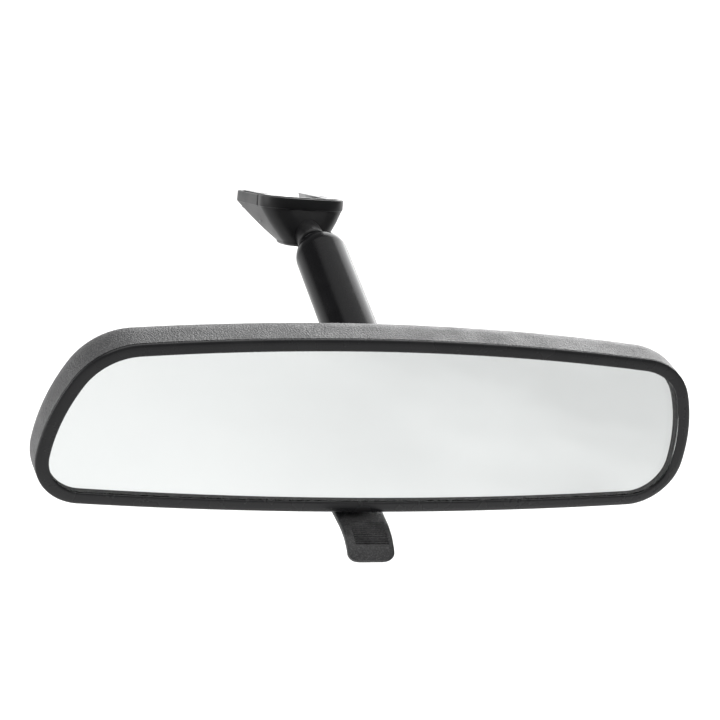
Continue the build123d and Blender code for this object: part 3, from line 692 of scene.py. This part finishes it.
@dataclass
class Housing(SubAssembly):
    """Grained back shell with a hole for the stem and a slot for the lever."""

    front: float = 1.05
    belt: float = 13.0
    back: float = 28.0
    wall: float = 2.0
    back_inset: float = 15.0
    hole_r: float = 15.5
    hole_height: float = 7.03
    collar: float = 8.3
    slot_half: float = 10.4
    slot_front: float = 6.5
    slot_roof: float = 24.3
    flat_rim: float = 2.3
    belt_round: float = 5.2
    back_round: float = 8.0
    slope_share: float = 0.8
    mouth_round: float = 1.2
    collar_wall: float = 2.6
    around: int = 420

    def _side(self, inset: float, front: float) -> Array:
        """Half section from the front edge to the back plane: belt, eased bend, slope, eased bend.

        Args:
            inset: How far inside the outer surface the section lies.
            front: Depth of the front edge.

        Returns:
            (inset, depth) points, front first.
        """
        back = self.back - inset
        corner = self.back_inset + inset * self.slope_share
        flat = corner + self.flat_rim
        steps = 14
        chain = [
            (inset, front, 0.2), (inset, self.belt, self.belt_round),
            (corner, back, self.back_round), (flat, back, 0.1), (flat, front, 0.1),
        ]
        return eased(chain, steps)[steps - 1 : -steps]

    def build(self) -> None:
        """Closed grid of rings: out along the shell, in at the stem's hole, and back inside.

        Between the flat's rim and the hole's mouth each ring is a blend of the two by an even
        share. The hole's rings turn the outline's own bearings into circles, so that point k of
        every ring faces the same way.
        """
        count = self.around
        outer = head_rings(self._side(0.0, self.front), count)
        inner = head_rings(self._side(self.wall, self.front)[::-1], count)
        outline, _ = OUTLINE.points(count)
        angle = np.arctan2(outline[:, 1] - self.hole_height, outline[:, 0])

        def circle(radius: float, depth: float) -> Array:
            """Ring round the hole's axis."""
            x, height = radius * np.cos(angle), self.hole_height + radius * np.sin(angle)
            return np.stack([x, np.full(count, depth), height], -1) + HEAD_ORIGIN

        def morph(a: Array, b: Array, steps: int) -> Array:
            """Rings between two others, by even shares."""
            t = (np.arange(1, steps) / steps)[:, None, None]
            return a + (b - a) * t

        lip, front = self.hole_r + self.collar_wall, self.back - self.collar
        turn = self.mouth_round
        rounding = arc((self.hole_r + turn, self.back - turn), turn, 90.0, 180.0, 7)
        mouth = np.array([circle(r, d) for r, d in rounding])
        throat = np.array([circle(self.hole_r, front + 0.3), circle(self.hole_r + 0.3, front)])
        under = np.array([
            circle(lip - 0.3, front), circle(lip, front + 0.3), circle(lip, self.back - self.wall)
        ])
        outside, inside = morph(outer[-1], mouth[0], 16), morph(under[-1], inner[0], 16)
        rings = np.concatenate([outer, outside, mouth, throat, under, inside, inner])
        shell = mesh_from_rings("housing_shell", rings, Ends.LOOPED)
        self._cut_slot(shell)
        self.settle(shell, "head", "housing_plastic", "rear_housing")
        self.settle(self._ledge(), "head", "housing_plastic")
        self._posts()

    def _cut_slot(self, shell: bpy.types.Object) -> None:
        """Cuts the lever's slot through the lower wall with a rounded block.

        Args:
            shell: The housing's shell.
        """
        count, corner, past = 48, 2.0, 2.0
        low, high = OUTLINE.height / 2 + past, self.slot_roof
        t = np.linspace(0.0, 2 * np.pi, count, endpoint=False)
        half_x, half_d = self.slot_half, (self.back + past - self.slot_front) / 2
        cx, cd = np.sign(np.cos(t)) * (half_x - corner), np.sign(np.sin(t)) * (half_d - corner)
        x, d = cx + corner * np.cos(t), cd + corner * np.sin(t) + self.slot_front + half_d
        rings = [np.stack([x, d, np.full(count, h)], -1) for h in (-low, -high)]
        cutter = mesh_from_rings("slot_cutter", np.array(rings) + HEAD_ORIGIN, Ends.CLOSED)
        cut_away(shell, cutter)

    def _ledge(self) -> bpy.types.Object:
        """Ring inside the shell that the foam bears on.

        Returns:
            The ring.
        """
        corners = [(1.6, 9.4, 0.2), (7.0, 9.4, 0.3), (7.0, 11.2, 0.3), (1.6, 11.2, 0.2)]
        section = eased(corners, steps=4)
        return mesh_from_rings("housing_ledge", head_rings(section, 300), Ends.LOOPED)

    def _posts(self) -> None:
        """Posts that hold the hinge rod, and cheeks that hold the lever's pin."""
        blocks = {
            "hinge_post": (17.6, 25.5, [(12.6, 20.6), (18.6, 20.6), (18.6, 26.8), (12.6, 26.8)]),
            "pin_cheek": (
                10.6, 13.5,
                [(11.8, -34.4), (13.6, -34.4), (17.8, -30.2), (17.8, -25.9), (11.8, -25.9)],
            ),
        }
        for name, (x0, x1, corners) in blocks.items():
            section = eased([(*corner, 0.8) for corner in corners], steps=6)
            for side, label in ((1.0, "right"), (-1.0, "left")):
                rings = [
                    np.stack([np.full(len(section), side * x), *section.T], -1) for x in (x0, x1)
                ]
                placed = np.array(rings) + HEAD_ORIGIN
                post = mesh_from_rings(f"{name}_{label}", placed, Ends.CLOSED)
                self.settle(post, "head", "housing_plastic")


@dataclass
class Glass(SubAssembly):
    """Wedge of glass with ground edges."""

    inset: float = 3.4
    front: float = 0.6
    thin: float = 2.0
    thick: float = 5.1
    ground: float = 0.35
    off_coat: float = 0.03
    around: int = 360

    def build(self) -> None:
        """Rings of the outline over a front plane and a back plane that slopes with height."""
        count = self.around
        outline, normal = OUTLINE.points(count)
        edge = outline - self.inset * normal
        low = edge[:, 1].min()
        slope = (self.thick - self.thin) / (edge[:, 1].max() - low)

        def ring(extra: float, share: float, behind: float | None) -> Array:
            """One ring of the glass.

            Args:
                extra: Inset beyond the glass's edge.
                share: Size of the ring, as a share of the outline.
                behind: How far in front of the back plane it lies, or None for the front plane.

            Returns:
                Points shaped (count, 3).
            """
            flat = (edge - extra * normal) * share
            back = self.front + self.thin + slope * (flat[:, 1] - low) - self.off_coat
            depth = np.full(count, self.front) if behind is None else back - behind
            return np.stack([flat[:, 0], depth, flat[:, 1]], -1) + HEAD_ORIGIN

        inward = [ring(self.ground, s, None) for s in (0.02, 0.25, 0.5, 0.75, 0.95, 1.0)]
        sides = [ring(0.0, 1.0, None) + [0, self.ground, 0], ring(0.0, 1.0, self.ground)]
        backs = [ring(self.ground, s, 0.0) for s in (1.0, 0.95, 0.75, 0.5, 0.25, 0.02)]
        glass = mesh_from_rings("wedge_of_glass", np.array(inward + sides + backs), Ends.CLOSED)
        self.settle(glass, "head", "glass_clear", "mirror_glass")


@dataclass
class Lever(SubAssembly):
    """Anti-glare lever with a ribbed thumb tab."""

    width: float = 20.2
    tip_width: float = 17.9
    thickness: float = 2.5
    pivot: tuple[float, float] = (15.0, -29.3)
    ribs: int = 10
    panel: tuple[float, float] = (0.6, 0.85)
    panel_sides: tuple[float, float] = (-6.0, 7.2)
    panel_sunk: float = 0.6
    rib_height: float = 0.42
    tip_round: float = 4.2
    hub_r: float = 3.6
    ear: float = 1.9
    ear_bearing: float = 67.5

    def _middle(self, s: Array) -> tuple[Array, Array]:
        """Middle line of the arm and its upward normal.

        A cubic curve from under the pivot, bending forward and then drooping to the tip.

        Args:
            s: Places along the line, 0 at the pivot and 1 at the tip.

        Returns:
            (depth, height) points and unit normals.
        """
        knots = np.array([
            [15.0, -31.0], [15.0, -34.4], [14.4, -37.4], [11.4, -38.9], [7.0, -39.4], [2.6, -39.6],
            [-3.2, -40.0], [-8.2, -41.2], [-12.4, -43.4], [-15.8, -46.5],
        ])
        length = np.concatenate([[0.0], np.cumsum(np.hypot(*np.diff(knots, axis=0).T))])
        u = length / length[-1]
        smooth = np.linspace(0.0, 1.0, 400)
        line = np.stack([np.interp(smooth, u, k) for k in knots.T], -1)
        kernel = np.hanning(41) / np.hanning(41).sum()
        padded = np.pad(line, ((20, 20), (0, 0)), mode="reflect", reflect_type="odd")
        line = np.stack([np.convolve(k, kernel, "valid") for k in padded.T], -1)
        slope = np.gradient(line, axis=0)
        slope /= np.linalg.norm(slope, axis=1, keepdims=True)
        normal = np.stack([slope[:, 1], -slope[:, 0]], -1)
        return (
            np.stack([np.interp(s, smooth, k) for k in line.T], -1),
            np.stack([np.interp(s, smooth, k) for k in normal.T], -1),
        )

    def build(self) -> None:
        """Flattened rounded section carried along the middle line, with a ribbed thumb panel.

        The section is a superellipse. Its half width narrows evenly to the tip and there follows
        a quarter circle. On the upper face the panel is sunk, and the ribs are a cosine wave.
        """
        low, high = self.panel
        around = 160
        s = np.concatenate([
            np.linspace(0.0, 0.55, 60),
            np.linspace(0.55, 0.85, 241)[1:],
            np.linspace(0.85, 1.0, 81)[1:],
        ])
        middle, normal = self._middle(s)
        t = np.linspace(0.0, 2 * np.pi, around, endpoint=False)
        across = np.sign(np.cos(t)) * np.abs(np.cos(t)) ** 0.22
        through = np.sign(np.sin(t)) * np.abs(np.sin(t)) ** 0.45
        left = np.clip((1.0 - s) / 0.085, 0.0, 1.0)
        rounding = np.sqrt(np.clip(1.0 - (1.0 - left) ** 2, 0.0, 1.0))
        half = self.width / 2 + (self.tip_width - self.width) / 2 * s
        half = half - self.tip_round * (1.0 - rounding)
        thick = self.thickness / 2 * np.clip((1.0 - s) / 0.012, 0.25, 1.0) ** 0.5
        x = half[:, None] * across[None]
        lift = thick[:, None] * through[None]
        across_panel = self._window(x, *self.panel_sides, 0.3)
        panel = self._window(s, low, high, 0.006)[:, None] * across_panel
        wave = 0.5 - 0.5 * np.cos(2 * np.pi * self.ribs * (s[:, None] - low) / (high - 0.012 - low))
        ribbed = self._window(s, low, high - 0.01, 0.003)[:, None]
        sunk = panel * (self.rib_height * ribbed * wave - self.panel_sunk)
        lift = lift + np.where(through[None] > 0.05, sunk, 0.0)
        depth = middle[:, None, 0] + normal[:, None, 0] * lift
        height = middle[:, None, 1] + normal[:, None, 1] * lift
        rings = np.stack([x, depth, height], -1) + HEAD_ORIGIN
        tab = mesh_from_rings("lever_tab", rings, Ends.CLOSED)
        self.settle(tab, "lever", "lever_plastic", "toggle_lever")
        for side, label in ((1.0, "right"), (-1.0, "left")):
            self.settle(self._cheek(side, label), "lever", "lever_plastic")

    def _cheek(self, side: float, label: str) -> bpy.types.Object:
        """Hub and crank ear on one side: a pear shape carried across the hub's width.

        The radius is the hub's plus the ear's length times a bell curve of the bearing.

        Args:
            side: 1 for the +x side, -1 for the other.
            label: The side's name.

        Returns:
            The hub.
        """
        count = 64
        t = np.linspace(0.0, 2 * np.pi, count, endpoint=False)
        turned = np.angle(np.exp(1j * (t - np.radians(self.ear_bearing))))
        lobe = self.hub_r + self.ear * np.exp(-((turned / 0.5) ** 2))
        profile = np.stack([self.pivot[0] + lobe * np.cos(t), self.pivot[1] + lobe * np.sin(t)], -1)
        rings = []
        for x, shrink in ((4.6, 0.93), (4.9, 1.0), (9.7, 1.0), (10.0, 0.93)):
            flat = self.pivot + (profile - self.pivot) * shrink
            rings.append(np.stack([np.full(count, side * x), *flat.T], -1) + HEAD_ORIGIN)
        return mesh_from_rings(f"lever_hub_{label}", np.array(rings), Ends.CLOSED)

    @staticmethod
    def _window(value: Array, low: float, high: float, soft: float) -> Array:
        """1 between low and high, falling to 0 over soft at each side by 3 v squared - 2 v cubed.

        Args:
            value: Where it is wanted.
            low: Lower end.
            high: Upper end.
            soft: Width of each fall, inside the ends.

        Returns:
            The window, shaped as value.
        """
        rise = np.clip((value - low) / soft, 0.0, 1.0)
        fall = np.clip((high - value) / soft, 0.0, 1.0)
        both = np.minimum(rise, fall)
        return both * both * (3 - 2 * both)


# ---- stem -------------------------------------------------------------------------------------
def turned_rings(section: Array, origin: Array, axis: Array, count: int = 128) -> Array:
    """Rings of a turned shape: each (along, radius) becomes a circle round the axis.

    Args:
        section: (along, radius) of each ring.
        origin: Point the lengths are measured from.
        axis: Unit vector of the axis, in the YZ plane.
        count: Points round each ring.

    Returns:
        Points shaped (ring, count, 3).
    """
    t = np.linspace(0.0, 2 * np.pi, count, endpoint=False)
    side = np.cross(axis, [1.0, 0.0, 0.0])
    spokes = np.cos(t)[:, None] * np.array([1.0, 0.0, 0.0]) + np.sin(t)[:, None] * side
    return origin + section[:, None, :1] * axis + section[:, None, 1:] * spokes[None]


@dataclass
class Stem(SubAssembly):
    """Painted tube with its ends drawn in round the balls."""

    radius: float = 10.0
    bore: float = 8.66
    mouth: float = 46.0

    def build(self) -> None:
        """Closed section of outer wall, rolled lips and bore, turned round the stem's axis.

        A lip's middle stands past the mouth's half angle by the angle that its roll takes up.
        """
        far = BALL_SPACING
        lip = (self.radius + self.bore) / 2
        roll = (self.radius - self.bore) / 2
        turn = np.radians(self.mouth) + roll / lip
        end = np.degrees(turn)
        outer = np.vstack([
            arc((0.0, 0.0), self.radius, 180.0 - end, 90.0, 24),
            arc((far, 0.0), self.radius, 90.0, end, 24),
        ])
        inner = np.vstack([
            arc((far, 0.0), self.bore, end, 90.0, 20),
            arc((0.0, 0.0), self.bore, 90.0, 180.0 - end, 20),
        ])
        far_lip = (far + lip * np.cos(turn), lip * np.sin(turn))
        near_lip = (-lip * np.cos(turn), lip * np.sin(turn))
        section = np.vstack([
            outer,
            arc(far_lip, roll, end - 20.0, end - 160.0, 7),
            inner,
            arc(near_lip, roll, 340.0 - end, 200.0 - end, 7),
        ])
        rings = turned_rings(section, UPPER_BALL, STEM_AXIS)
        tube = mesh_from_rings("stem_sleeve", rings, Ends.LOOPED)
        self.settle(tube, "stem", "tube_paint", "stem_tube")


# ---- mount ------------------------------------------------------------------------------------
def rounded_rectangle(width: float, length: float, radius: float, count: int) -> Array:
    """Points round a rectangle with rounded corners.

    Along each quarter the point first slides down half a side, then turns round the corner, then
    slides along half the next side, so point k of two such outlines faces the same way.

    Args:
        width: Size along x.
        length: Size along y.
        radius: Corner radius.
        count: Number of points, a multiple of four.

    Returns:
        Points shaped (count, 2), starting at the middle of the +x side.
    """
    share = np.arange(count // 4) / (count // 4)
    first = np.clip(share / 0.25, 0.0, 1.0)
    last = 1.0 - np.clip((share - 0.75) / 0.25, 0.0, 1.0)
    bend = np.pi / 2 * np.clip((share - 0.25) / 0.5, 0.0, 1.0)
    half_x, half_y = width / 2 - radius, length / 2 - radius
    points = []
    for k in range(4):
        run, rise = (half_x, half_y) if k % 2 == 0 else (half_y, half_x)
        out = run * last + radius * np.cos(bend)
        across = rise * first + radius * np.sin(bend)
        turn = k * np.pi / 2
        x, y = np.round(np.cos(turn)), np.round(np.sin(turn))
        points.append(np.stack([x * out - y * across, y * out + x * across], -1))
    return np.vstack(points)


@dataclass
class Mount(SubAssembly):
    """Painted hull of the windscreen mount, with the boss that holds the stud."""

    width: float = 34.0
    length: float = 44.0
    corner: float = 10.0
    rim: float = 0.3
    band: float = 4.6
    keel_depth: float = 18.9
    keel: tuple[float, float] = (13.8, 15.2)
    keel_middle: float = -15.0
    keel_corner: float = 6.0
    plate: float = 7.0
    wall: float = 2.2
    boss_r: float = 5.4
    notch: tuple[float, float] = (-17.0, -9.6)
    notch_depth: float = 0.4
    notch_width: float = 0.45
    step: float = 0.2
    flank_share: float = 0.9
    mouth_half: float = 12.8
    mouth_depth: float = 4.9

    def build(self) -> None:
        """Builds the hull and the boss."""
        self._hull()
        self._boss()

    def _place(self, plan: Array, out: float) -> Array:
        """Points of a plan set out of the mount's face, in the row frame."""
        flat = plan[:, :1] * np.array([1.0, 0.0, 0.0]) + plan[:, 1:] * SCREEN_DOWN
        return flat + out * SCREEN_NORMAL

    def _hull(self) -> None:
        """Band, step, sloping flank and rounded keel outside; a seat for the plate inside.

        The flank's plan is the rim's plan blended with the keel's by the share of the depth, and
        swells by a sine of that share. The keel's edge follows a quarter circle. A small notch in
        the band is a bell curve of the distance from its place.
        """
        count = 480
        rim = rounded_rectangle(self.width, self.length, self.corner, count)
        keel = rounded_rectangle(*self.keel, self.keel_corner, count) + [0.0, self.keel_middle]
        away = rim / np.linalg.norm(rim, axis=1)[:, None]
        core = np.array([0.0, self.keel_middle])
        wide, long = self.width - 2 * self.wall, self.length - 2 * self.wall
        seat = rounded_rectangle(wide, long, self.corner - self.wall, count)

        def flank(share: float) -> Array:
            """Plan of the flank at a share of its depth."""
            swell = 0.8 * np.sin(np.pi * share) - 0.5 * (1.0 - share)
            return rim + (keel - rim) * share + swell * away

        rings = [self._place(seat * k, -self.plate + 0.02) for k in (0.02, 0.4, 0.8, 0.99, 1.0)]
        rings += [self._place(seat, -d) for d in (5.0, 2.0, self.rim + 0.2)]
        band = [(0.35, self.rim), (0.05, self.rim + 0.15), (0.0, self.rim + 0.5)]
        band += [(0.0, self.band - 0.35), (0.1, self.band - 0.1), (0.4, self.band)]
        gap = np.linalg.norm(rim - np.array(self.notch), axis=1)
        nick = self.notch_depth * np.exp(-((gap / self.notch_width) ** 2))[:, None]
        rings += [self._place(rim - (inset + nick) * away, -d) for inset, d in band]
        deep, straight = self.keel_depth - self.band - self.step, self.flank_share
        for share in np.linspace(0.0, straight, 24):
            rings.append(self._place(flank(share), -self.band - self.step - deep * share))
        low = flank(straight) - core
        for turn in np.radians(np.linspace(8.0, 90.0, 12)):
            plan = core + low * (1.0 - 0.24 * (1.0 - np.cos(turn)))
            share = straight + 0.1 * np.sin(turn)
            rings.append(self._place(plan, -self.band - self.step - deep * share))
        rings += [self._place(core + low * k, -self.keel_depth) for k in (0.4, 0.2, 0.02)]
        hull = mesh_from_rings("mount_hull", np.array(rings), Ends.CLOSED)
        self._cut_mouth(hull)
        self.settle(hull, "mount", "mount_paint", "mount_shell")

    def _cut_mouth(self, hull: bpy.types.Object) -> None:
        """Opens the rim where the windscreen's button slides in.

        Args:
            hull: The mount's hull.
        """
        half, end = self.mouth_half, self.length / 2
        low, high = end - 2 * self.wall, end + 3.0
        plan = np.array([[-half, low], [half, low], [half, high], [-half, high]])
        rings = np.array([self._place(plan, 1.0), self._place(plan, -self.mouth_depth)])
        cut_away(hull, mesh_from_rings("mouth_cutter", rings, Ends.CLOSED))

    def _boss(self) -> None:
        """Level round boss with a rolled end, turned round the stud's axis."""
        section = np.vstack([
            [(24.0, 0.05), (24.0, self.boss_r - 0.2)],
            arc((12.7, self.boss_r - 1.2), 1.2, 90.0, 180.0, 10),
            [(11.5, 3.1), (12.2, 0.05)],
        ])
        rings = turned_rings(section, UPPER_BALL, np.array([0.0, 1.0, 0.0]), 96)
        boss = mesh_from_rings("stud_boss", rings, Ends.CLOSED)
        self.settle(boss, "mount", "mount_paint")


# ---- studio -----------------------------------------------------------------------------------
@dataclass
class Studio:
    """Pale floor with a painted grey shade patch, soft lights and the camera."""

    azimuth: float = -26.78
    elevation: float = 28.53
    roll: float = 15.21
    lens: float = 114.1
    distance: float = 784.0
    target: tuple[float, float, float] = (-17.73, 0.0, 28.19)
    floor_drop: float = 210.0
    floor_half: float = 4000.0
    floor_squares: int = 32

    def build(self) -> None:
        """Places floor, lights, world and camera."""
        self._floor()
        self._world()
        self._light("overhead", (0.0, 0.0, 1900.0), 3000.0, 56.0)
        self._light("side_left", (-1100.0, 250.0, 100.0), 600.0, 5.0)
        self._light("back_right", (1000.0, 1000.0, 300.0), 1500.0, 34.0)
        self._camera()

    def _floor(self) -> None:
        """Broad flat grid under the part, with painted shade: its tone greyer towards +x and away
        from the mount, a grey patch that the mirror's glass reflects as shade.

        The painted shade's share is the share of the way forward, times a half plus cloudy noise
        times the share of the way to the right.
        """
        side = self.floor_squares + 1
        t = np.linspace(-self.floor_half, self.floor_half, side)
        x, y = np.meshgrid(t, t, indexing="ij")
        points = np.stack([x, y, np.full_like(x, -self.floor_drop)], -1).reshape(-1, 3)
        i, j = np.meshgrid(np.arange(side - 1), np.arange(side - 1), indexing="ij")
        k = i * side + j
        faces = np.stack([k, k + side, k + side + 1, k + 1], -1).reshape(-1, 4).tolist()
        floor = mesh_object("floor", points, faces)
        material, n, shader = new_material("floor_with_painted_shade")
        place = n.add("TexCoord").outputs["Object"]
        cloud = n.noise(place, 7.0, 3.0)
        axes = n.add("SeparateXYZ", {0: place}).outputs
        ahead = n.ramp(axes["Y"], -0.3, -0.42)
        right = n.ramp(axes["X"], 0.02, 0.38)
        patches = n.add("Math", {0: cloud, 1: right, 2: 0.5}, operation="MULTIPLY_ADD")
        # Painted shade: grey patches on the floor ahead of the glass, there to be seen as shade in
        # the mirror's reflection.
        painted_shade_share = n.math("MULTIPLY", ahead, patches.outputs[0])
        tone = n.mix(painted_shade_share, (0.93, 0.93, 0.93, 1.0), (0.56, 0.56, 0.56, 1.0))
        n.feed(shader, {"Base Color": tone})
        shader.inputs["Roughness"].default_value = 0.9
        floor.data.materials.append(material)

    def _world(self) -> None:
        """Even white surround."""
        world = bpy.data.worlds.new("studio")
        bpy.context.scene.world = world
        world.use_nodes = True
        back = world.node_tree.nodes["Background"]
        back.inputs["Color"].default_value = (1.0, 1.0, 1.0, 1.0)
        back.inputs["Strength"].default_value = 0.35

    def _light(
        self, name: str, place: tuple[float, float, float], size: float, power: float
    ) -> None:
        """Square soft light aimed at the head.

        Args:
            name: The light's name.
            place: Where it hangs, in millimetres.
            size: Length of its sides.
            power: Watts.
        """
        data = bpy.data.lights.new(name, "AREA")
        data.size, data.energy = size * MM, power
        lamp = bpy.data.objects.new(name, data)
        bpy.context.scene.collection.objects.link(lamp)
        lamp.location = Vector(place) * MM
        aim = Vector((HEAD_ORIGIN + [0.0, 20.0, 0.0]) * MM) - lamp.location
        lamp.rotation_euler = aim.to_track_quat("-Z", "Y").to_euler()

    def _camera(self) -> None:
        """Camera on a sphere round its target, rolled about its own view."""
        data = bpy.data.cameras.new("camera")
        data.lens, data.sensor_width = self.lens, 36.0
        data.clip_end = 50.0
        camera = bpy.data.objects.new("camera", data)
        bpy.context.scene.collection.objects.link(camera)
        a, e, roll = np.radians([self.azimuth, self.elevation, self.roll])
        out = np.array([np.sin(a) * np.cos(e), -np.cos(a) * np.cos(e), np.sin(e)])
        right = np.cross(-out, [0.0, 0.0, 1.0])
        right /= np.linalg.norm(right)
        up = np.cross(right, -out)
        turned = np.cos(roll) * right + np.sin(roll) * up
        above = -np.sin(roll) * right + np.cos(roll) * up
        place = (HEAD_ORIGIN + self.target + self.distance * out) * MM
        rows = np.stack([turned, above, out, place], -1)
        camera.matrix_world = Matrix([*rows.tolist(), [0.0, 0.0, 0.0, 1.0]])
        bpy.context.scene.camera = camera


def main() -> None:
    """Dresses the frame, builds the new pieces and sets the studio."""
    logging.basicConfig(level=logging.INFO, format="%(name)s %(message)s")
    box = FinishBox()
    box.dress_frame()
    for part in (Bezel, Housing, Glass, Lever, Stem, Mount):
        part(box).build()
    Studio().build()
    bpy.context.scene.view_settings.view_transform = "Standard"


if __name__ == "__main__":
    main()
